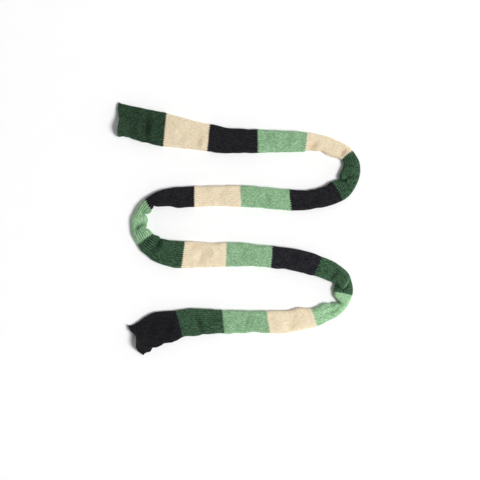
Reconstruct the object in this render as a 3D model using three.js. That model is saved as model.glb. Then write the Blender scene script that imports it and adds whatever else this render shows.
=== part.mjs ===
// A long, skinny striped scarf, machine knitted in twenty-one bands of four colours of wool.
// It lies flat in a loose S: four runs and three bends, with both long edges rolled under.
//
// Each band is knitted from its own length of yarn, so each is a solid of its own, flat underneath
// where it rests. A hinge at each border between two bands stands for the give of the knit there.
//
// Frame: millimetres, +Z up, with the scarf resting on Z = 0 and the origin under the middle of the
// whole lay. +X is to the right and +Y is away from the reader when the lay is seen from above.

import * as THREE from 'three';

const BORDER_GAP = 0.3; // between two neighbouring bands
const RUN_TURN = 15; // degrees each way that a border in a run turns
const BEND_OPENING = 45; // degrees that a border in a bend opens
const END_LIFT = 40; // degrees that each end band lifts
const ROOT_BAND = 11; // the band that stays put, counted from 1

// The fabric is a strip of constant width, so where the roll is narrower it also stands higher.
const RUN_WIDTH = 54;
const RUN_HEIGHT = 13;
const HEIGHT_GAIN = 0.4; // mm higher for each mm narrower
const FLATTEST = 9;
const HIGHEST = 21;

const CURVE_SEGMENTS = 3;
const RUN_STEPS = 4;
const BEND_STEPS = 8;

const LAY_SHIFT = new THREE.Vector2(1.4, 1.6); // puts the middle of the lay over the origin

const YARNS = {
  forest: { color: 0x38503b, roughness: 0.95 },
  cream: { color: 0xeadabe, roughness: 0.95 },
  black: { color: 0x242429, roughness: 0.95 },
  mint: { color: 0x89af88, roughness: 0.95 },
};

// The bands in order from the upper left end. `from` is the point of the centreline where a band
// begins, with the roll's width there: [x, y, width]. `through` is one more such point, where the
// band curves. `bend` says which way the lay turns at a border that is inside a bend.
const BANDS = [
  { yarn: 'forest', from: [-264, 240, 72] },
  { yarn: 'cream', from: [-162, 218, 73] },
  { yarn: 'black', from: [-67, 201, 58] },
  { yarn: 'mint', from: [40, 192, 53] },
  { yarn: 'cream', from: [149, 191, 42], through: [197, 179, 42] },
  { yarn: 'forest', from: [239, 161, 34], through: [247, 126, 43], bend: 'right' },
  { yarn: 'black', from: [220, 82, 43], through: [170, 66, 43], bend: 'right' },
  { yarn: 'mint', from: [114, 63, 46] },
  { yarn: 'cream', from: [5, 71, 48] },
  { yarn: 'black', from: [-100, 70, 46], through: [-153, 68, 38] },
  { yarn: 'mint', from: [-199, 53, 28], through: [-219, 16, 37], bend: 'left' },
  { yarn: 'forest', from: [-205, -23, 40], through: [-169, -48, 52], bend: 'left' },
  { yarn: 'cream', from: [-122, -57, 60] },
  { yarn: 'mint', from: [-27, -57, 55] },
  { yarn: 'black', from: [74, -61, 46] },
  { yarn: 'forest', from: [175, -83, 43], through: [217, -105, 42] },
  { yarn: 'mint', from: [230, -142, 41], through: [206, -177, 40], bend: 'right' },
  { yarn: 'cream', from: [167, -195, 41] },
  { yarn: 'mint', from: [64, -204, 50] },
  { yarn: 'forest', from: [-35, -204, 53] },
  { yarn: 'black', from: [-133, -209, 62] },
];
const LAST_POINT = [-224, -247, 68];

const UP = new THREE.Vector3(0, 0, 1);

// The lay is one smooth curve through all those points. Its third coordinate is the roll's width.
const layPoints = [];
const borders = []; // where each band begins, and the last one ends, as an index into layPoints
for (const band of BANDS) {
  borders.push(layPoints.length);
  layPoints.push(new THREE.Vector3(...band.from));
  if (band.through) layPoints.push(new THREE.Vector3(...band.through));
}
borders.push(layPoints.length);
layPoints.push(new THREE.Vector3(...LAST_POINT));
const lay = new THREE.CatmullRomCurve3(layPoints, false, 'catmullrom', 0.5);

function rollHeight(width) {
  const height = RUN_HEIGHT + (RUN_WIDTH - width) * HEIGHT_GAIN;
  return THREE.MathUtils.clamp(height, FLATTEST, HIGHEST);
}

// The centreline point, the directions along and to the left of it, and the roll's size there.
function stationAt(index) {
  const share = THREE.MathUtils.clamp(index / (layPoints.length - 1), 0, 1);
  const point = lay.getPoint(share);
  const along = lay.getTangent(share).setZ(0).normalize();
  const left = new THREE.Vector3().crossVectors(UP, along);
  const width = point.z;
  const centre = new THREE.Vector3(point.x + LAY_SHIFT.x, point.y + LAY_SHIFT.y, 0);
  return { centre, along, left, width, height: rollHeight(width) };
}

// Border n lies between band n and band n + 1, counted from 1.
function borderKind(n) {
  if (n === 1 || n === BANDS.length - 1) return 'end';
  return BANDS[n].bend ? 'bend' : 'run';
}

// How far a band's end face is set back from border n, at a distance across from the centreline.
// A border in a run turns both ways about its middle, so its faces open towards both edges.
function setBack(n, across) {
  if (n === 0 || n === BANDS.length) return 0;
  if (borderKind(n) !== 'run') return BORDER_GAP / 2;
  const bevel = THREE.MathUtils.degToRad(RUN_TURN / 2);
  return BORDER_GAP / 2 + Math.abs(across) * Math.tan(bevel);
}

// The roll's section, from -1 to 1 across and from 0 to 1 up: flat below, round at both edges and
// crowned on top.
function rolledSection() {
  const section = new THREE.Shape();
  section.moveTo(-0.8, 0);
  section.lineTo(0.8, 0);
  section.bezierCurveTo(0.94, 0, 1, 0.2, 1, 0.45);
  section.bezierCurveTo(1, 0.8, 0.62, 1, 0, 1);
  section.bezierCurveTo(-0.62, 1, -1, 0.8, -1, 0.45);
  section.bezierCurveTo(-1, 0.2, -0.94, 0, -0.8, 0);
  return section;
}

// A straight bar of that section, laid along the curve between its two borders.
function bandGeometry(n) {
  const steps = BANDS[n - 1].through ? BEND_STEPS : RUN_STEPS;
  const geometry = new THREE.ExtrudeGeometry(rolledSection(), {
    depth: 1,
    steps,
    curveSegments: CURVE_SEGMENTS,
    bevelEnabled: false,
  });
  const position = geometry.attributes.position;
  const vertex = new THREE.Vector3();
  for (let i = 0; i < position.count; i += 1) {
    vertex.fromBufferAttribute(position, i);
    const share = vertex.z;
    const station = stationAt(THREE.MathUtils.lerp(borders[n - 1], borders[n], share));
    const across = (vertex.x * station.width) / 2;
    const shift = (1 - share) * setBack(n - 1, across) - share * setBack(n, across);
    const height = vertex.y * station.height;
    vertex.copy(station.centre);
    vertex.addScaledVector(station.along, shift);
    vertex.addScaledVector(station.left, across);
    vertex.addScaledVector(UP, height);
    position.setXYZ(i, vertex.x, vertex.y, vertex.z);
  }
  geometry.computeVertexNormals();
  return geometry;
}

// The hinge of border n. An end band lifts about the top of its border. A bend opens about its outer
// edge, which the knit keeps at its length. A run turns either way about its middle.
function hinge(n) {
  const station = stationAt(borders[n]);
  const kind = borderKind(n);
  const movesFirstPart = n < ROOT_BAND; // the part nearer the first end is what moves
  const at = station.centre.clone();
  const axis = UP.clone();
  let range = [-RUN_TURN, RUN_TURN];
  if (kind === 'end') {
    at.addScaledVector(UP, station.height);
    axis.copy(station.left).multiplyScalar(movesFirstPart ? 1 : -1);
    range = [0, END_LIFT];
  } else if (kind === 'bend') {
    const turnsRight = BANDS[n].bend === 'right';
    at.addScaledVector(station.left, ((turnsRight ? 1 : -1) * station.width) / 2);
    axis.multiplyScalar(turnsRight === movesFirstPart ? -1 : 1);
    range = [0, BEND_OPENING];
  } else {
    axis.multiplyScalar(n % 2 === 0 ? 1 : -1);
  }
  return { border: n, kind, at: at.toArray(), axis: axis.toArray(), range };
}

const scarf = new THREE.Group();
scarf.name = 'striped_scarf';
BANDS.forEach((band, index) => {
  const material = new THREE.MeshStandardMaterial({ ...YARNS[band.yarn], metalness: 0 });
  const mesh = new THREE.Mesh(bandGeometry(index + 1), material);
  mesh.name = `band_${String(index + 1).padStart(2, '0')}_${band.yarn}`;
  scarf.add(mesh);
});
scarf.userData.hinges = BANDS.slice(1).map((band, index) => hinge(index + 1));

export default scarf;
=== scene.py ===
"""A long, skinny striped scarf, knitted in stockinette, lying flat in a loose S and seen from above.

The fabric is one strip of constant width. Its long edges roll under, so every cross-section is a
flattened C that stands on the floor. The strip follows the same curve as the solids of the frame,
band by band, and its surface is worked out by one function, `fabric`, so neighbouring bands meet
stitch by stitch along a toothed border.
"""

import math

import bpy
import numpy as np
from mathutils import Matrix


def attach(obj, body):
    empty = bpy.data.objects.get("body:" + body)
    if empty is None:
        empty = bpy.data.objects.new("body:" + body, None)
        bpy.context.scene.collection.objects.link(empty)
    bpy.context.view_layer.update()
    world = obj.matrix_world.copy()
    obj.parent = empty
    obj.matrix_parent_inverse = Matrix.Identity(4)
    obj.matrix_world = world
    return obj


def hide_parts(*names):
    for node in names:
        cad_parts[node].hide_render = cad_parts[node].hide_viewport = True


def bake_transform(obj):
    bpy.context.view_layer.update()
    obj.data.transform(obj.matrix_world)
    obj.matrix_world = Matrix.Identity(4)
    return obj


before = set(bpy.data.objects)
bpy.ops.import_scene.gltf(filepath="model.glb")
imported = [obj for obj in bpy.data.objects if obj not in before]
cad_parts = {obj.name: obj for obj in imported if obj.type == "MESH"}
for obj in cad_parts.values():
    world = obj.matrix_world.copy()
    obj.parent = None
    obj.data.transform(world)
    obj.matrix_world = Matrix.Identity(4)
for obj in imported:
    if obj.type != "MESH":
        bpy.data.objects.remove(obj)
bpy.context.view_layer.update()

MM = 0.001
rng = np.random.default_rng(11)

# ----------------------------------------------------------------------------------- the lay, in mm

# The bands in order from the upper left end. `at` is the centreline point where a band begins, with
# the roll's width there: (x, y, width). `through` is one more such point, where the band curves.
# `tone` is how light its yarn looks beside the same yarn in the other bands.
BANDS = [
    {"yarn": "forest", "at": (-264, 240, 72), "tone": 0.57},
    {"yarn": "cream", "at": (-162, 218, 73), "tone": 0.96},
    {"yarn": "black", "at": (-67, 201, 58), "tone": 0.9},
    {"yarn": "mint", "at": (40, 192, 53)},
    {"yarn": "cream", "at": (149, 191, 42), "through": (197, 179, 42)},
    {"yarn": "forest", "at": (239, 161, 34), "through": (247, 126, 43)},
    {"yarn": "black", "at": (220, 82, 43), "through": (170, 66, 43)},
    {"yarn": "mint", "at": (114, 63, 46)},
    {"yarn": "cream", "at": (5, 71, 48)},
    {"yarn": "black", "at": (-100, 70, 46), "through": (-153, 68, 38), "tone": 0.9},
    {"yarn": "mint", "at": (-199, 53, 28), "through": (-219, 16, 37), "tone": 1.05},
    {"yarn": "forest", "at": (-205, -23, 40), "through": (-169, -48, 52), "tone": 0.97},
    {"yarn": "cream", "at": (-122, -57, 60)},
    {"yarn": "mint", "at": (-27, -57, 55)},
    {"yarn": "black", "at": (74, -61, 46), "tone": 1.2},
    {"yarn": "forest", "at": (175, -83, 43), "through": (217, -105, 42), "tone": 1.1},
    {"yarn": "mint", "at": (230, -142, 41), "through": (206, -177, 40), "tone": 1.26},
    {"yarn": "cream", "at": (167, -195, 41), "tone": 1.03},
    {"yarn": "mint", "at": (64, -204, 50)},
    {"yarn": "forest", "at": (-35, -204, 53)},
    {"yarn": "black", "at": (-133, -209, 62), "tone": 0.72},
]
LAST_POINT = (-224, -247, 68)
LAY_SHIFT = (1.4, 1.6, -0.9)  # is added to each of the points above
ROOT_BAND = 11

THICKNESS = 3.0  # of the fabric, from the tops of the stitches to the purl side
HALF_STRIP = 55.0  # half the width that was knitted
BAND_LENGTH = 100.0  # the mean of the bands, and one unit of a band coordinate
RUN_WIDTH, RUN_HEIGHT = 54, 13  # of the roll in a run
HEIGHT_GAIN = 0.14  # how much higher the roll gets for each mm that it is narrower
FLATTEST, HIGHEST = 9, 21  # what the roll's height stays between
LEAST_FLAT, LEAST_UNDER = 1.0, 2.0  # what each half has on top and turned back underneath
MOST_UNDER = 0.9  # as a share of the flat half, so that the two rolled edges stay apart
CROWN = 1.0  # how far the top rises towards its middle
EDGE_WOBBLE, TOP_WOBBLE = 0.12, 0.15  # how high the slow waves of `unevenness` are
BACK_STARTS, BACK_FADE = 0.6, 0.3  # where the turned-back part stops following the top, by its turn
FULL_HOLLOW, FULL_RIDGE = 6, 8  # how far down and up a fold has to be for a painted shade of 1 and a painted highlight of -1
RIDGE_LIMIT = 0.5  # a ridge's painted highlight, a shade below 0, goes no further than this
FADE_OUT = 1.7  # a pinch or a pleat is gone at this many times its reach across
END_FADE = 45.0  # how far into the band the outline of a short edge is felt

WALES = 24
COURSES = 30  # in each band
WALE_COLUMNS = 4  # mesh columns in each wale
COURSE_ROWS = 4  # mesh rows in each course
CHEVRON = 3.9  # how far the legs of a stitch rise, in mm
UNEVEN_TEETH = 0.25  # how far the teeth of a border differ, in mm
RELIEF = 0.42  # of a stitch on the knit side
PURL_RELIEF = 0.35

LEFT, RIGHT = 1, -1  # sides of the roll, going along from the first band to the last

# Where the lay strays from the curve above: band coordinate, half length in mm, and mm to the left.
DRIFTS = [
    (1.2, 110, -1.3),
    (17.6, 60, 1.5),
    (20.5, 40, -2.0),
]

# Where an edge swells out or draws in: band coordinate, side, half length in mm, and mm outwards.
SWELLS = [
    (0.93, LEFT, 6, 1.5),
    (0.02, RIGHT, 5, 1.5),
    (0.12, RIGHT, 5, -1.5),
    (0.3, RIGHT, 14, -1.6),
    (0.62, RIGHT, 10, 1.4),
    (0.97, RIGHT, 12, 1.5),
    (2.1, LEFT, 10, 1.5),
    (2.55, RIGHT, 40, 1.0),
    (2.87, LEFT, 12, -1.2),
    (2.15, RIGHT, 25, 3.0),
    (2.4, RIGHT, 18, 2.5),
    (2.5, LEFT, 25, -2.6),
    (3.7, RIGHT, 26, 2.6),
    (3.92, RIGHT, 9, 2.2),
    (4.15, LEFT, 22, -1.3),
    (4.4, RIGHT, 17, -6.8),
    (5.15, LEFT, 20, -2.0),
    (5.35, RIGHT, 26, -1.4),
    (5.45, LEFT, 10, -1.2),
    (5.85, LEFT, 18, 2.4),
    (6.08, RIGHT, 17, 5.2),
    (6.42, LEFT, 12, 1.0),
    (6.7, RIGHT, 14, -1.3),
    (6.9, LEFT, 35, 1.3),
    (8.5, RIGHT, 35, -0.8),
    (8.5, LEFT, 30, -0.9),
    (9.3, LEFT, 20, 4.3),
    (9.6, RIGHT, 25, 1.5),
    (10.1, LEFT, 9, 5.6),
    (10.3, RIGHT, 35, -3.0),
    (10.46, LEFT, 8, 2.5),
    (10.95, LEFT, 10, 2.0),
    (11.3, LEFT, 16, 2.2),
    (11.35, RIGHT, 32, 3.8),
    (11.85, RIGHT, 20, 1.3),
    (12.7, LEFT, 25, -3.3),
    (12.4, RIGHT, 15, -1.0),
    (13.7, LEFT, 12, -1.5),
    (13.95, RIGHT, 35, 2.6),
    (14.1, LEFT, 10, -1.3),
    (14.1, RIGHT, 12, 1.2),
    (14.6, LEFT, 40, 4.2),
    (14.75, RIGHT, 40, 2.2),
    (15.62, LEFT, 17, 2.8),
    (15.38, RIGHT, 12, 1.4),
    (15.64, RIGHT, 8, -6.5),
    (15.9, RIGHT, 10, 2.0),
    (16.4, RIGHT, 9, -11.0),
    (16.7, RIGHT, 20, 3.0),
    (16.75, LEFT, 17, -3.5),
    (17.32, RIGHT, 16, 5.5),
    (17.6, LEFT, 28, 3.0),
    (18.3, LEFT, 17, -3.0),
    (18.5, RIGHT, 50, -1.5),
    (18.88, LEFT, 10, 1.8),
    (18.92, RIGHT, 8, -2.0),
    (19.6, LEFT, 30, 2.2),
    (20.15, LEFT, 14, 5.0),
    (20.0, RIGHT, 18, -2.4),
    (20.45, RIGHT, 32, 6.6),
    (21.0, RIGHT, 9, 3.2),
    (20.45, LEFT, 18, 3.0),
    (20.28, LEFT, 6, 2.0),
    (20.46, LEFT, 6, -2.4),
    (20.74, LEFT, 5, -3.4),
    (20.84, LEFT, 4, 1.8),
]

# How a border leans: mm forward at its left edge and at its right edge.
LEANS = {
    1: (-2.6, 4.5),
    2: (0.6, 2.0),
    3: (0.7, 3.6),
    4: (0.0, -1.8),
    5: (1.0, -6.0),
    6: (4.0, 0.0),
    7: (-1.5, 4.7),
    8: (-1.3, 1.8),
    9: (-3.5, -4.9),
    10: (2.0, -2.0),
    11: (2.0, 0.0),
    12: (4.2, -1.0),
    14: (-2.2, 0.0),
    15: (1.0, -4.0),
    16: (1.4, -2.6),
    17: (-1.0, 5.0),
    18: (-4.0, 2.0),
    19: (-4.0, 0.8),
    20: (-5.0, -2.0),
}

# The outline of each short edge: mm from the centreline to the left, and mm beyond the lay's end.
FIRST_OUTLINE = [
    (-38, -16),
    (-35, -10),
    (-31, -6),
    (-22, -4),
    (-11, -4.5),
    (0, -3),
    (9, 0.5),
    (20, 5.5),
    (35, 6.5),
    (38, 3),
]
LAST_OUTLINE = [
    (-40, 2),
    (-37, 4.5),
    (-22, 3.5),
    (-18, 0),
    (-10, -3.5),
    (-2, -2),
    (5, 2),
    (13, 6),
    (22, 4.5),
    (33, -2),
]
END_OUTLINES = {0: FIRST_OUTLINE, 21: LAST_OUTLINE}

# How the short edges lift off the floor and curl: rise, how far it reaches into the band, its place
# to the left, its half breadth, and the curl's length and radius, all in mm.
END_LIFTS = {
    0: (13.0, 34, -14, 20, 5.0, 4.5),
    21: (12.0, 36, 2, 20, 6.0, 4.5),
}

# Soft hollows and ridges in the top of the roll: band coordinate, mm to the left, half length and
# half breadth in mm, turn in degrees from the direction along, and height in mm.
DENTS = [
    (0.62, -4, 26, 7.5, -80, -4.8),
    (0.53, -2, 24, 6, -80, 1.2),
    (1.82, -8, 16, 8, 70, -1.4),
    (2.3, 0, 16, 7, 80, -1.6),
    (3.2, 4, 14, 7, 60, -1.5),
    (3.6, 2, 16, 7, 75, -1.8),
    (4.12, -9, 15, 8.0, 61, -3.0),
    (4.845, -3, 12, 6.5, 73, -3.4),
    (4.95, -1, 9, 4.0, 73, 1.0),
    (5.36, -8, 9, 5.0, 90, -3.0),
    (5.66, -2, 13, 4.0, 118, -4.5),
    (5.5, 4, 12, 4.0, 110, 1.5),
    (6.5, 0, 18, 6, 80, -1.5),
    (7.5, 4, 18, 7, 60, -1.6),
    (8.4, 0, 18, 7, 80, -1.0),
    (9.5, 0, 18, 5, 20, -1.4),
    (10.12, 10, 12, 6, 0, -2.5),
    (10.24, -5, 18, 4.5, 10, 2.2),
    (10.62, 4, 15, 5.5, 112, -6.0),
    (10.69, -5, 8, 5.0, 0, -3.5),
    (10.42, 2, 10, 5.0, 100, 1.8),
    (11.36, 2, 22, 7.0, 75, -4.5),
    (11.17, 2, 16, 5.0, 75, 1.5),
    (12.3, 17, 14, 8, 20, -1.8),
    (12.45, -6, 16, 8, 60, -1.3),
    (12.75, 8, 16, 6, 110, 1.2),
    (13.4, 6, 14, 8, 60, -1.8),
    (14.4, 0, 16, 8, 70, -1.5),
    (15.40, -3, 11, 6.0, 80, -4.0),
    (15.62, 13, 9, 2.5, 0, 2.2),
    (16.31, 10, 10, 6, 20, 2.2),
    (16.65, -7, 34, 3.0, -7, 2.6),
    (16.6, 3, 26, 4.0, -10, -1.8),
    (17.5, 0, 18, 8, 70, -1.2),
    (18.45, -3, 14, 5, 70, -2.2),
    (19.12, -3, 16, 6, 0, -2.2),
    (19.52, 4, 22, 5.5, 112, -4.0),
    (19.42, -8, 14, 5, 100, 1.2),
    (20.25, 6, 18, 6, 40, -2.6),
    (20.6, -8, 20, 7, 30, -2.4),
]

# Pinches where the inside of a bend crumples: band coordinate, side, reach across and half length in
# mm, how far the edge goes in, and how far the top sinks.
PINCHES = [
    (5.77, RIGHT, 16, 4.5, 9.0, 3.0),
    (9.87, LEFT, 9, 5.0, 2.5, 1.5),
    (10.26, LEFT, 12, 3.0, 5.0, 3.5),
    (10.75, LEFT, 12, 4.5, 5.5, 3.0),
    (11.30, LEFT, 11, 5.0, 2.0, 2.5),
    (15.55, RIGHT, 14, 9.0, 9.5, 0.5),
    (16.27, RIGHT, 24, 6.2, 16.0, 3.5),
]

# Pleats, where the fabric folds over itself towards the inside of a bend: band coordinate, side,
# reach across and half length in mm, push forward, rise of the upper layer, the place to the left
# where its line bows, and how strongly it bows back.
PLEATS = [
    (15.80, RIGHT, 24, 6.0, 8.5, 5.0, 2, 0.05),
    (5.70, RIGHT, 14, 4.5, 4.0, 3.0, 0, -0.02),
    (11.30, LEFT, 14, 5.5, 3.5, 2.0, 0, 0.0),
    (10.66, LEFT, 12, 4.5, 3.0, 2.0, 0, 0.02),
]

# Where the wales stand out, because the fabric is stretched across: band coordinate, mm to the left,
# half length and half breadth in mm, and how much.
STRETCHES = [
    (0.5, 0, 60, 30, 0.5),
    (2.5, 0, 50, 30, 0.25),
    (4.6, 4, 30, 20, 0.22),
    (5.15, 0, 20, 16, 1.0),
    (5.6, 2, 16, 18, 0.4),
    (5.9, 0, 16, 18, 0.8),
    (6.5, 0, 50, 30, 0.25),
    (8.5, 0, 50, 30, 0.2),
    (9.85, 0, 16, 20, 0.6),
    (10.15, -2, 20, 16, 1.0),
    (10.85, 0, 18, 16, 0.9),
    (11.12, 0, 20, 18, 1.0),
    (11.75, -4, 30, 30, 0.5),
    (15.3, 0, 50, 20, 0.3),
    (16.4, 0, 24, 16, 0.35),
    (18.5, 0, 60, 30, 0.25),
    (19.5, 0, 60, 30, 0.42),
    (20.4, 0, 60, 30, 0.5),
]


def lay_table():
    """The lay's points, and for each border the index of its point."""
    points, borders = [], []
    for band in BANDS:
        borders.append(len(points))
        points.append(band["at"])
        if "through" in band:
            points.append(band["through"])
    borders.append(len(points))
    points.append(LAST_POINT)
    return np.array(points, float) + LAY_SHIFT, np.array(borders, float)


LAY_POINTS, BORDERS = lay_table()


def catmull_rom(points, index):
    """The smooth curve through points at fractional indices, and its derivative by index."""
    last = len(points) - 1
    padded = np.vstack([2 * points[0] - points[1], points, 2 * points[-1] - points[-2]])
    cell = np.clip(np.floor(index).astype(int), 0, last - 1)
    f = (index - cell)[..., None]
    p0, p1, p2, p3 = (padded[cell + k] for k in range(4))
    a = 2 * p0 - 5 * p1 + 4 * p2 - p3
    b = -p0 + 3 * p1 - 3 * p2 + p3
    value = 0.5 * (2 * p1 + (p2 - p0) * f + a * f**2 + b * f**3)
    slope = 0.5 * ((p2 - p0) + 2 * a * f + 3 * b * f**2)
    return value, slope


def smooth(x):
    """A soft step from 0 to 1, as x goes from 0 to 1."""
    x = np.clip(x, 0, 1)
    return x * x * (3 - 2 * x)


def hump(x):
    """A soft bump of height 1 at x = 0, which is nearly gone at 2."""
    return np.exp(-(x**2))


def centreline(b):
    """Centre, direction along, direction to the left, and the roll's width, at band coordinates b."""
    index = np.interp(b, np.arange(len(BORDERS)), BORDERS)
    value, slope = catmull_rom(LAY_POINTS, index)
    along = slope[..., :2] / np.linalg.norm(slope[..., :2], axis=-1, keepdims=True)
    beyond = (b - np.clip(b, 0, len(BANDS)))[..., None] * BAND_LENGTH
    centre = value[..., :2] + along * beyond
    left = np.stack([-along[..., 1], along[..., 0]], -1)
    return centre, along, left, value[..., 2]


ROLL_STEPS = 240


def roll_profile():
    """How a rolled edge of unit length goes down and back under: out and down by share along it."""
    share = np.linspace(0, 1, ROLL_STEPS + 1)
    turn = np.pi * smooth(share)
    step = share[1]
    out = np.concatenate([[0], np.cumsum(np.cos(turn[1:] / 2 + turn[:-1] / 2)) * step])
    down = np.concatenate([[0], np.cumsum(np.sin(turn[1:] / 2 + turn[:-1] / 2)) * step])
    return share, out, down


ROLL_SHARE, ROLL_OUT, ROLL_DOWN = roll_profile()


def section(t, width, height):
    """Across and up of the fabric's middle layer, and how far it has turned over.

    t runs from -1 to 1 over the strip. Where the roll is too narrow for the whole strip, the part
    that is rolled out of sight is packed closer.
    """
    roll = (height - THICKNESS) / ROLL_DOWN[-1]
    flat = np.maximum(width / 2 - THICKNESS / 2 - roll * ROLL_OUT.max(), LEAST_FLAT)
    under = np.minimum(HALF_STRIP - flat - roll, MOST_UNDER * flat)
    under = np.maximum(under, LEAST_UNDER)
    seen = flat + roll / 2
    strip = np.abs(t) * HALF_STRIP
    packing = (flat + roll + under - seen) / (HALF_STRIP - seen)
    distance = np.where(strip < seen, strip, seen + (strip - seen) * packing)
    share = np.clip((distance - flat) / roll, 0, 1)
    out = np.minimum(distance, flat) + roll * np.interp(share, ROLL_SHARE, ROLL_OUT)
    out -= np.maximum(distance - flat - roll, 0)
    up = height - THICKNESS / 2 - roll * np.interp(share, ROLL_SHARE, ROLL_DOWN)
    return np.sign(t) * out, up, np.pi * smooth(share)


PUFF_SIZES = (24, 13, 7)
PUFF_HEIGHTS = (0.8, 0.45, 0.2)
PUFF_ORIGIN = (8, 12)  # where in each table the start of the scarf's centreline lies
PUFFS = rng.normal(0, 1, (len(PUFF_SIZES), 256, 32))


def puffiness(s, across):
    """A soft random unevenness of the cloth, in mm."""
    total = 0
    rows, columns = PUFFS.shape[1:]
    for table, size, amount in zip(PUFFS, PUFF_SIZES, PUFF_HEIGHTS):
        x, y = s / size + PUFF_ORIGIN[0], across / size + PUFF_ORIGIN[1]
        i, j = np.floor(x).astype(int), np.floor(y).astype(int)
        fx, fy = smooth(x - i), smooth(y - j)
        i, j = i % (rows - 1), np.clip(j, 0, columns - 2)
        low = table[i, j] * (1 - fy) + table[i, j + 1] * fy
        high = table[i + 1, j] * (1 - fy) + table[i + 1, j + 1] * fy
        total = total + amount * (low * (1 - fx) + high * fx)
    return total


def unevenness(b, t):
    """The sum of four slow waves of height 1, as in any cloth laid down by hand."""
    s = b * BAND_LENGTH
    waves = [(37, 0.3, 1.1), (61, -0.7, 2.3), (23, 1.9, 0.4), (89, 2.6, 5.0)]
    total = 0
    for length, slant, phase in waves:
        total = total + np.sin(2 * np.pi * s / length + slant * t * 2 + phase)
    return total


def lean(b, t):
    """How far forward the courses lie, in mm, at and between the borders that lean."""
    places = np.arange(len(BANDS) + 1)
    at_left = np.array([LEANS.get(n, (0, 0))[0] for n in places], float)
    at_right = np.array([LEANS.get(n, (0, 0))[1] for n in places], float)
    half = centreline(b)[3] / 2
    tip = (1 + np.clip(t * HALF_STRIP / half, -1, 1)) / 2
    return np.interp(b, places, at_left) * tip + np.interp(b, places, at_right) * (1 - tip)


def end_outline(b, across):
    """How far the short edges reach beyond the lay's ends, in mm forward, fading into the band."""
    total = 0
    for n, outline in END_OUTLINES.items():
        places, reaches = np.array(outline, float).T
        reach = np.interp(across, places, reaches)
        inwards = np.abs(b - n) * BAND_LENGTH
        total = total + (1 if n else -1) * reach * (1 - smooth(inwards / END_FADE))
    return total


def edge_shift(b, t, across, half):
    """How far the fabric strays to the left, in mm: drifts, swells at the edges, and a wobble."""
    s = b * BAND_LENGTH
    waves = unevenness(b + 0.37, 0.2 * np.sign(t))  # out of step with the top's
    shift = np.sign(t) * EDGE_WOBBLE * waves * smooth(np.abs(across) / half)
    for place, reach, amount in DRIFTS:
        shift = shift + amount * hump((s - place * BAND_LENGTH) / reach)
    for place, side, reach, amount in SWELLS:
        near = smooth(1.1 * side * across / half)
        shift = shift + side * amount * near * hump((s - place * BAND_LENGTH) / reach)
    return shift


def dents(s, across):
    """Height of the soft hollows and ridges, in mm."""
    height = 0
    for place, where, reach, breadth, angle, amount in DENTS:
        ds, dn = s - place * BAND_LENGTH, across - where
        c, sn = math.cos(math.radians(angle)), math.sin(math.radians(angle))
        lengthwise, crosswise = ds * c + dn * sn, dn * c - ds * sn
        height = height + amount * hump(lengthwise / reach) * hump(crosswise / breadth)
    return height


def edge_distance(side, across, half, reach):
    """From 0 at the roll's edge to 1 where a pinch or a pleat is gone."""
    return (half - side * across) / (FADE_OUT * reach)


def pinches(s, across, half):
    """How far the pinches move the fabric to the left and how far they sink it, in mm."""
    shift, sunk = 0, 0
    for place, side, reach, length, depth, sink in PINCHES:
        near = smooth(1 - edge_distance(side, across, half, reach))
        pinch = hump((s - place * BAND_LENGTH) / length) * near
        shift = shift - side * depth * pinch
        sunk = sunk + sink * pinch
    return shift, sunk


def pleats(s, across, half):
    """How far the pleats push the fabric forward and raise it, in mm, and the painted shade and
    highlight they give it.
    """
    forward, height, shade = 0, 0, 0
    scale = 2.33  # because u * hump(u) is 1 / 2.33 at its highest
    for place, side, reach, length, push, lift, middle, bow in PLEATS:
        near = smooth(1.5 * (1 - edge_distance(side, across, half, reach)))
        u = (s - place * BAND_LENGTH + bow * (across - middle) ** 2) / length
        forward = forward - scale * push * u * hump(u) * near
        height = height + lift * (hump(u + 0.7) - hump(u - 0.7)) * near
        # painted shade in the crevice under a pleat's nose, and a painted highlight on its crest
        painted_crevice_shade = near * hump((u - 1.25) / 0.7) * smooth(1 - side * (middle - across) / 20)
        painted_crest_highlight = 2 * np.sqrt(near * (1 - near)) * hump((u + 0.8) / 0.35)
        shade = shade + lift / 4 * (painted_crevice_shade - 1.1 * painted_crest_highlight)
    return forward, height, shade


def end_lifts(s, across):
    """How far the short edges are raised, and how far they curl forward and up, in mm."""
    raised, forward, height = 0, 0, 0
    for n, (lift, reach, where, breadth, curl, radius) in END_LIFTS.items():
        inwards = np.abs(s - n * BAND_LENGTH) + 0 * across
        arch = 1.2 * hump((across - where) / breadth) - 0.2  # the corners stay on the floor
        raised = raised + lift * (1 - smooth(inwards / reach)) * arch
        uneven = 0.75 + 0.35 * np.sin(across / 5.3 + 3 * n)
        bent = np.clip(curl - inwards, 0, curl) / radius * uneven
        forward = forward + (1 if n else -1) * radius * (np.sin(bent) - bent)
        height = height + radius * (1 - np.cos(bent))
    return raised, forward, height


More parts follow.
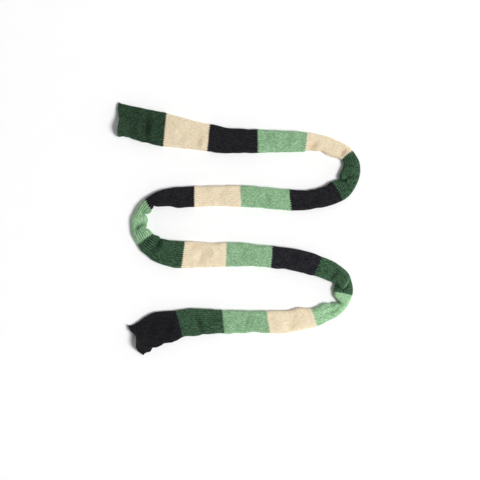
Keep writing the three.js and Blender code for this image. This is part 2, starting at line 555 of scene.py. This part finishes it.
def fabric(b, t):
    """Points of the fabric's middle layer, in mm, at band coordinates b and strip coordinates t.

    Comes with a painted shade: above 0 down in the folds, and below 0 on the ridges, where it is a
    painted highlight.
    """
    b = b + lean(b, t) / BAND_LENGTH
    centre, along, left, width = centreline(b)
    s, half = b * BAND_LENGTH, width / 2
    height = np.clip(RUN_HEIGHT + (RUN_WIDTH - width) * HEIGHT_GAIN, FLATTEST, HIGHEST)
    across, up, turn = section(t, width, height)
    outer_layer = 1 - smooth((turn / np.pi - BACK_STARTS) / BACK_FADE)

    pinch_shift, sunk = pinches(s, across, half)
    pleat_forward, pleat_height, pleat_shade = pleats(s, across, half)
    raised, curl_forward, curl_height = end_lifts(s, across)
    shift = edge_shift(b, t, across, half) + pinch_shift
    folds = dents(s, across) - sunk
    # painted shade: 1 down in a hollow or a sunk pinch, and a painted highlight below 0 on a ridge
    shade = np.clip(-folds / FULL_HOLLOW, 0, 1) - np.clip(folds / FULL_RIDGE, 0, RIDGE_LIMIT)
    shade = (shade + pleat_shade) * outer_layer
    forward = end_outline(b, across) + pleat_forward + outer_layer * curl_forward
    bulge = CROWN * (1 - (across / half) ** 2) + TOP_WOBBLE * unevenness(b, t) + folds
    bulge = bulge + puffiness(s, across) * (1 - 0.8 * smooth(turn / 1.6))  # less where it rolls
    bulge = (bulge + pleat_height + curl_height) * outer_layer

    across = across + shift + np.sign(t) * np.sin(turn) * bulge
    up = np.maximum(up + raised + np.cos(turn) * bulge, THICKNESS / 2)
    xy = centre + left * across[..., None] + along * (forward + 0 * up)[..., None]
    return np.concatenate([xy, up[..., None]], -1), shade


# ----------------------------------------------------------------------------------------- the knit


def stretch(b, t):
    """From 0 where the cloth is relaxed to 1 where it is stretched across and the wales part."""
    width = centreline(b)[3]
    across = np.clip(t * HALF_STRIP, -width / 2, width / 2)
    total = 0
    for place, where, length, breadth, amount in STRETCHES:
        near = hump((b - place) * BAND_LENGTH / length) * hump((across - where) / breadth)
        total = np.maximum(total, amount * near)
    return total


def stitch_relief(rows, columns, stretched):
    """Height of the knit side, from 0 in the grooves to 1 on the yarn, and of the purl side."""
    phase = (rows / COURSE_ROWS) % 1
    lane = (columns / WALE_COLUMNS) % 1
    yarn = np.sin(np.pi * phase) ** 0.7
    leg = np.abs(np.sin(2 * np.pi * lane))
    middle = np.where(np.abs(lane - 0.5) < 0.01, 0.5, 0.0)
    between = np.where(lane < 0.01, 0.3, 0.0)
    relaxed = (0.1 + 0.9 * yarn) * np.maximum(leg, middle) + between
    rib = -1.1 * np.cos(2 * np.pi * lane) - 0.2 * (1 - yarn)
    knit = relaxed + (rib - relaxed) * stretched
    purl = np.abs(np.sin(np.pi * phase))
    return knit, purl


def band_mesh(n):
    """Band n as a closed sheet: the knit side, the purl side, and the rims that join them."""
    rows = np.arange(COURSES * COURSE_ROWS + 1)
    columns = np.arange(WALES * WALE_COLUMNS + 1)
    i, j = np.meshgrid(rows, columns, indexing="ij")
    lane = (j / WALE_COLUMNS) % 1
    b = n - 1 + i / rows[-1]
    teeth = smooth(np.minimum(b, len(BANDS) - b) * COURSES / 2)  # 0 at the scarf's short edges
    b = b + teeth * CHEVRON * (2 * np.abs(lane - 0.5) - 0.5) / BAND_LENGTH
    uneven = np.sin(7.3 * np.floor(j / WALE_COLUMNS) + 5.1 * np.round(b))  # differs at each wale
    b = b + teeth * UNEVEN_TEETH * uneven / BAND_LENGTH
    t = 2 * j / columns[-1] - 1
    middle, shade = fabric(b, t)
    db, dt = 0.004, 0.008  # steps for the slopes, in b and in t
    along = fabric(b + db, t)[0] - fabric(b - db, t)[0]
    across = fabric(b, t + dt)[0] - fabric(b, t - dt)[0]
    out = np.cross(along, across)
    out /= np.linalg.norm(out, axis=-1, keepdims=True)
    knit, purl = stitch_relief(i, j, stretch(b, t))
    outer = middle + out * (THICKNESS / 2 + RELIEF * (knit - 1))[..., None]
    inner = middle - out * (THICKNESS / 2 + PURL_RELIEF * (purl - 1))[..., None]
    tone = BANDS[n - 1].get("tone", 1.0) + 0 * knit
    # each point gets the stitch relief, the band's tone, and the painted shade of folds and highlight
    # of ridges
    return grid_mesh(f"band_{n:02d}", outer, inner, {"relief": knit, "tone": tone, "painted_fold_shading": shade}, n)


def grid_mesh(name, outer, inner, shades, n):
    """A closed mesh from two grids of one shape, with a map for the bake and one in stitches."""
    h, w = outer.shape[:2]
    verts = np.concatenate([outer.reshape(-1, 3), inner.reshape(-1, 3)]) * MM
    at = np.arange(h * w).reshape(h, w)
    below = at + h * w

    def quads(a, b, c, d):
        return np.stack([a.ravel(), b.ravel(), c.ravel(), d.ravel()], 1)

    outer_quads = quads(at[:-1, :-1], at[1:, :-1], at[1:, 1:], at[:-1, 1:])
    inner_quads = quads(below[:-1, :-1], below[:-1, 1:], below[1:, 1:], below[1:, :-1])
    # Along the first border, the last border, the right edge and the left edge.
    rims = [
        quads(at[0, :-1], at[0, 1:], below[0, 1:], below[0, :-1]),
        quads(at[-1, 1:], at[-1, :-1], below[-1, :-1], below[-1, 1:]),
        quads(at[1:, 0], at[:-1, 0], below[:-1, 0], below[1:, 0]),
        quads(at[:-1, -1], at[1:, -1], below[1:, -1], below[:-1, -1]),
    ]
    parts = [outer_quads, inner_quads, *rims]  # in the order of the kinds that bake_map knows
    faces = np.concatenate(parts)
    mesh = bpy.data.meshes.new(name)
    mesh.vertices.add(len(verts))
    mesh.vertices.foreach_set("co", verts.astype(np.float32).ravel())
    mesh.loops.add(faces.size)
    mesh.loops.foreach_set("vertex_index", faces.astype(np.int32).ravel())
    mesh.polygons.add(len(faces))
    mesh.polygons.foreach_set("loop_start", np.arange(0, faces.size, 4, dtype=np.int32))
    mesh.update(calc_edges=True)
    both_sides = len(outer_quads) + len(inner_quads)
    mesh.polygons.foreach_set("use_smooth", np.arange(len(faces)) < both_sides)

    row, column = np.divmod(faces % (h * w), w)
    u, v = column / (w - 1), row / (h - 1)
    kind = np.repeat(np.arange(len(parts)), [len(part) for part in parts])
    low = (faces >= h * w).astype(float)
    bake_u, bake_v = bake_map(u, v, low, kind[:, None])
    knit_u, knit_v = u * WALES, (n - 1 + v) * COURSES
    for map_name, mu, mv in (("OFBake", bake_u, bake_v), ("Knit", knit_u, knit_v)):
        layer = mesh.uv_layers.new(name=map_name)
        layer.data.foreach_set("uv", np.stack([mu, mv], -1).astype(np.float32).ravel())
    mesh.uv_layers.active = mesh.uv_layers["Knit"]
    for shade_name, values in shades.items():
        shade = mesh.attributes.new(shade_name, "FLOAT", "POINT")
        shade.data.foreach_set("value", np.tile(values.ravel(), 2).astype(np.float32))
    ob = bpy.data.objects.new(name, mesh)
    bpy.context.scene.collection.objects.link(ob)
    return ob


KNIT_SIDE, PURL_SIDE, FIRST_RIM, LAST_RIM, RIGHT_RIM, LEFT_RIM = range(6)  # the kinds of faces

# Where they lie on the bake's map, which is 1 by 1: the knit side at the left with the first rim
# above it, the purl side at the right with the last rim above it, and the other rims in between.
KNIT_U, PURL_U, SIDE_WIDTH = 0.02, 0.53, 0.45
RIGHT_RIM_U, LEFT_RIM_U, UPRIGHT_RIM_WIDTH = 0.480, 0.500, 0.008
SIDE_V, SIDE_HEIGHT = 0.02, 0.93
LEVEL_RIM_V, LEVEL_RIM_HEIGHT = 0.965, 0.02


def bake_map(u, v, low, kind):
    """Where each corner lies on the bake's map. `low` is 1 for a rim's corners on the purl side."""
    at_left = (kind == KNIT_SIDE) | (kind == FIRST_RIM)
    mu = np.where(at_left, KNIT_U, PURL_U) + SIDE_WIDTH * u
    mu = np.where(kind == RIGHT_RIM, RIGHT_RIM_U + UPRIGHT_RIM_WIDTH * low, mu)
    mu = np.where(kind == LEFT_RIM, LEFT_RIM_U + UPRIGHT_RIM_WIDTH * low, mu)
    level_rim = (kind == FIRST_RIM) | (kind == LAST_RIM)
    mv = np.where(level_rim, LEVEL_RIM_V + LEVEL_RIM_HEIGHT * low, SIDE_V + SIDE_HEIGHT * v)
    return mu, mv


# ---------------------------------------------------------------------------------------- the yarns


def srgb(r, g, b):
    """A colour in 0 to 255 as the renderer's linear values."""
    scaled = [c / 255 for c in (r, g, b)]
    return tuple(c / 12.92 if c <= 0.04045 else ((c + 0.055) / 1.055) ** 2.4 for c in scaled) + (1.0,)


# Each yarn's darkest and lightest fibres (the lightest also paint the highlight on ridges), the dark
# colour of the painted shade in its folds, and its loose fibres in the light, which tint the sheen
# and paint a pleat's crest.
YARNS = {
    "forest": {
        "shade": srgb(27, 48, 32),
        "light": srgb(76, 111, 82),
        "painted_fold_shading": srgb(15, 30, 19),
        "fuzz_and_highlight": srgb(125, 172, 132),
    },
    "cream": {
        "shade": srgb(228, 207, 170),
        "light": srgb(249, 236, 211),
        "painted_fold_shading": srgb(200, 168, 122),
        "fuzz_and_highlight": srgb(255, 246, 228),
    },
    "black": {
        "shade": srgb(7, 7, 8),
        "light": srgb(43, 43, 49),
        "painted_fold_shading": srgb(6, 6, 8),
        "fuzz_and_highlight": srgb(72, 70, 80),
    },
    "mint": {
        "shade": srgb(110, 152, 110),
        "light": srgb(168, 206, 166),
        "painted_fold_shading": srgb(72, 118, 76),
        "fuzz_and_highlight": srgb(205, 235, 203),
    },
}


class Nodes:
    """A short way to write a material's nodes."""

    def __init__(self, name):
        self.material = bpy.data.materials.new(name)
        self.material.use_nodes = True
        self.tree = self.material.node_tree
        self.shader = self.tree.nodes["Principled BSDF"]

    def add(self, kind, inputs=(), **settings):
        node = self.tree.nodes.new(kind)
        for key, value in settings.items():
            setattr(node, key, value)
        for key, value in dict(inputs).items():
            self.put(node.inputs[key], value)
        return node

    def put(self, socket, value):
        if isinstance(value, bpy.types.NodeSocket):
            self.tree.links.new(value, socket)
        else:
            socket.default_value = value

    def math(self, operation, a, b=0.0):
        return self.add("ShaderNodeMath", {0: a, 1: b}, operation=operation).outputs[0]

    def mix(self, share, a, b):
        node = self.add("ShaderNodeMix", data_type="RGBA")
        self.put(node.inputs[0], share)
        self.put(node.inputs[6], a)  # the colours are sockets 6 and 7
        self.put(node.inputs[7], b)
        return node.outputs[2]

    def noise(self, vector, scale, detail=2.0):
        inputs = {"Vector": vector, "Scale": scale, "Detail": detail}
        return self.add("ShaderNodeTexNoise", inputs).outputs["Fac"]

    def spread(self, value, low, high):
        node = self.add("ShaderNodeMapRange", {"Value": value, "From Min": low, "From Max": high})
        return node.outputs[0]


def yarn_material(name, colours):
    """Heathered wool: mottled, with painted shade in grooves and folds, and a sheen of loose fibres.
    """
    n = Nodes("yarn_" + name)
    knit = n.add("ShaderNodeUVMap", uv_map="Knit").outputs[0]
    relief = n.add("ShaderNodeAttribute", attribute_name="relief").outputs["Fac"]
    # the painted shade (above 0) and painted highlight (below 0) of folds and ridges, from `fabric`
    painted_fold_shading = n.add("ShaderNodeAttribute", attribute_name="painted_fold_shading").outputs["Fac"]
    mottle = n.spread(n.noise(knit, 0.32, 2.0), 0.3, 0.7)
    heather = n.spread(n.noise(knit, 1.15, 1.0), 0.33, 0.67)
    long_grain = n.add("ShaderNodeMapping", {"Vector": knit, "Scale": (9, 4, 1)}).outputs[0]
    fibres = n.noise(long_grain, 1.6, 3.0)
    mixed = n.math("ADD", n.math("MULTIPLY", mottle, 0.2), n.math("MULTIPLY", heather, 0.6))
    mixed = n.math("ADD", mixed, n.math("MULTIPLY", n.spread(fibres, 0.3, 0.7), 0.2))
    base = n.mix(n.spread(mixed, 0.2, 0.8), colours["shade"], colours["light"])
    # painted shade: down in the folds the colour goes towards the yarn's dark fold colour
    with_fold_shade = n.mix(n.spread(painted_fold_shading, 0.0, 1.2), base, colours["painted_fold_shading"])
    # painted highlight: on ridges the colour goes towards the lightest fibres, and on a pleat's crest
    # on to the fuzz colour
    ridge_highlight = n.math("MULTIPLY", painted_fold_shading, -1.0)
    raised = n.mix(n.spread(ridge_highlight, 0.0, 1.2), with_fold_shade, colours["light"])
    raised = n.mix(n.spread(ridge_highlight, 0.6, 2.6), raised, colours["fuzz_and_highlight"])
    # painted shade between the stitches: the grooves of the knit go towards the darkest fibres mixed
    # with black
    painted_groove_shade = n.mix(0.55, colours["shade"], (0, 0, 0, 1))
    colour = n.mix(n.spread(relief, -0.8, 0.6), painted_groove_shade, raised)
    tone = n.add("ShaderNodeAttribute", attribute_name="tone").outputs["Fac"]
    colour = n.add("ShaderNodeVectorMath", {0: colour, 3: tone}, operation="SCALE").outputs[0]
    n.put(n.shader.inputs["Base Color"], colour)
    n.shader.inputs["Roughness"].default_value = 0.92
    n.shader.inputs["Specular IOR Level"].default_value = 0.2
    n.shader.inputs["Sheen Weight"].default_value = 0.9
    n.shader.inputs["Sheen Roughness"].default_value = 0.35
    n.shader.inputs["Sheen Tint"].default_value = colours["fuzz_and_highlight"]
    bump = n.add("ShaderNodeBump", {"Strength": 0.5, "Distance": 0.0004, "Height": fibres})
    n.put(n.shader.inputs["Normal"], bump.outputs[0])
    return n.material


MATERIALS = {name: yarn_material(name, colours) for name, colours in YARNS.items()}

# ---------------------------------------------------------------------------------------- the scarf

BLEND_SPARE = 0.001  # a margin beyond a band's toothed edges, in metres


def middle_of_border(n):
    """Where the centreline crosses border n, on the floor, in metres."""
    centre = centreline(np.array(float(n)))[0]
    return np.array([centre[0], centre[1], 0.0]) * MM


def edge_row(ob, last):
    """The mesh's points along its first or last border, in metres."""
    co = np.zeros(len(ob.data.vertices) * 3, np.float32)
    ob.data.vertices.foreach_get("co", co)
    w = WALES * WALE_COLUMNS + 1
    grids = co.reshape(2, -1, w, 3)
    return grids[:, -1 if last else 0].reshape(-1, 3)


def bend_with(ob, n):
    """Attaches the root band to its own body; any other band only gets its transform baked into its
    mesh.
    """
    if n == ROOT_BAND:
        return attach(ob, f"band_{n:02d}")
    near_is_last = n < ROOT_BAND
    far, near = (n - 1, n) if near_is_last else (n, n - 1)
    start, end = middle_of_border(far), middle_of_border(near)
    chord = (end - start) / np.linalg.norm(end - start)
    into = ((edge_row(ob, not near_is_last) - start) @ chord).max() + BLEND_SPARE
    short = ((end - edge_row(ob, near_is_last)) @ chord).max() + BLEND_SPARE
    start, end = start + chord * into, end - chord * short
    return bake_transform(ob)


for number, band in enumerate(BANDS, start=1):
    piece = band_mesh(number)
    piece.name = f"knit_{number:02d}_{band['yarn']}"
    piece.data.materials.append(MATERIALS[band["yarn"]])
    bend_with(piece, number)
    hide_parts(f"band_{number:02d}_{band['yarn']}")

# --------------------------------------------------------------------------------------- the studio

VIEW_WIDTH = 1.056  # metres of floor across the picture
VIEW_MIDDLE = (0.0047, -0.0237)


def make_floor():
    """A round paper floor that curves up into a low wall far from the scarf."""
    flat, curve, wall, sides, steps = 7.0, 2.5, 2.0, 96, 13
    turns = np.linspace(0, math.pi / 2, steps)
    profile = [(flat + curve * math.sin(a), curve * (1 - math.cos(a))) for a in turns]
    profile.append((flat + curve, curve + wall))
    around = np.linspace(0, 2 * math.pi, sides, endpoint=False)
    verts = [(r * math.cos(a), r * math.sin(a), z) for r, z in profile for a in around]
    faces = [tuple(range(sides))]
    for ring in range(len(profile) - 1):
        for k in range(sides):
            a, b = ring * sides + k, ring * sides + (k + 1) % sides
            faces.append((a, a + sides, b + sides, b))
    mesh = bpy.data.meshes.new("floor")
    mesh.from_pydata(verts, [], faces)
    mesh.polygons.foreach_set("use_smooth", [False] + [True] * (len(faces) - 1))
    floor = bpy.data.objects.new("floor", mesh)
    bpy.context.scene.collection.objects.link(floor)
    n = Nodes("floor_paper")
    n.shader.inputs["Base Color"].default_value = (0.97, 0.97, 0.97, 1)
    n.shader.inputs["Roughness"].default_value = 0.9
    mesh.materials.append(n.material)


def area_light(name, place, size, power):
    """A round soft light that points at the middle of the lay."""
    data = bpy.data.lights.new(name, "AREA")
    data.shape = "DISK"
    data.size = size
    data.energy = power
    light = bpy.data.objects.new(name, data)
    bpy.context.scene.collection.objects.link(light)
    light.location = place
    toward = -light.location
    light.rotation_mode = "QUATERNION"
    light.rotation_quaternion = toward.to_track_quat("-Z", "Y")


def make_lights():
    """One big soft key from the right, a weak one from behind, and a little light from all around."""
    area_light("key", place=(8.2, -2.7, 12.4), size=6.0, power=2150)
    area_light("rim", place=(1.6, 7.4, 10.2), size=6.0, power=60)
    world = bpy.data.worlds.new("studio")
    bpy.context.scene.world = world
    world.use_nodes = True
    world.node_tree.nodes["Background"].inputs["Color"].default_value = (1, 1, 1, 1)
    world.node_tree.nodes["Background"].inputs["Strength"].default_value = 0.13


def make_camera():
    """A long lens straight above the scarf, which sees VIEW_WIDTH of the floor."""
    data = bpy.data.cameras.new("camera")
    data.lens = 85
    data.sensor_width = 36
    data.clip_end = 20
    camera = bpy.data.objects.new("camera", data)
    bpy.context.scene.collection.objects.link(camera)
    distance = VIEW_WIDTH * data.lens / data.sensor_width
    camera.location = (*VIEW_MIDDLE, distance)
    bpy.context.scene.camera = camera


make_floor()
make_lights()
make_camera()
bpy.context.scene.view_settings.view_transform = "Standard"
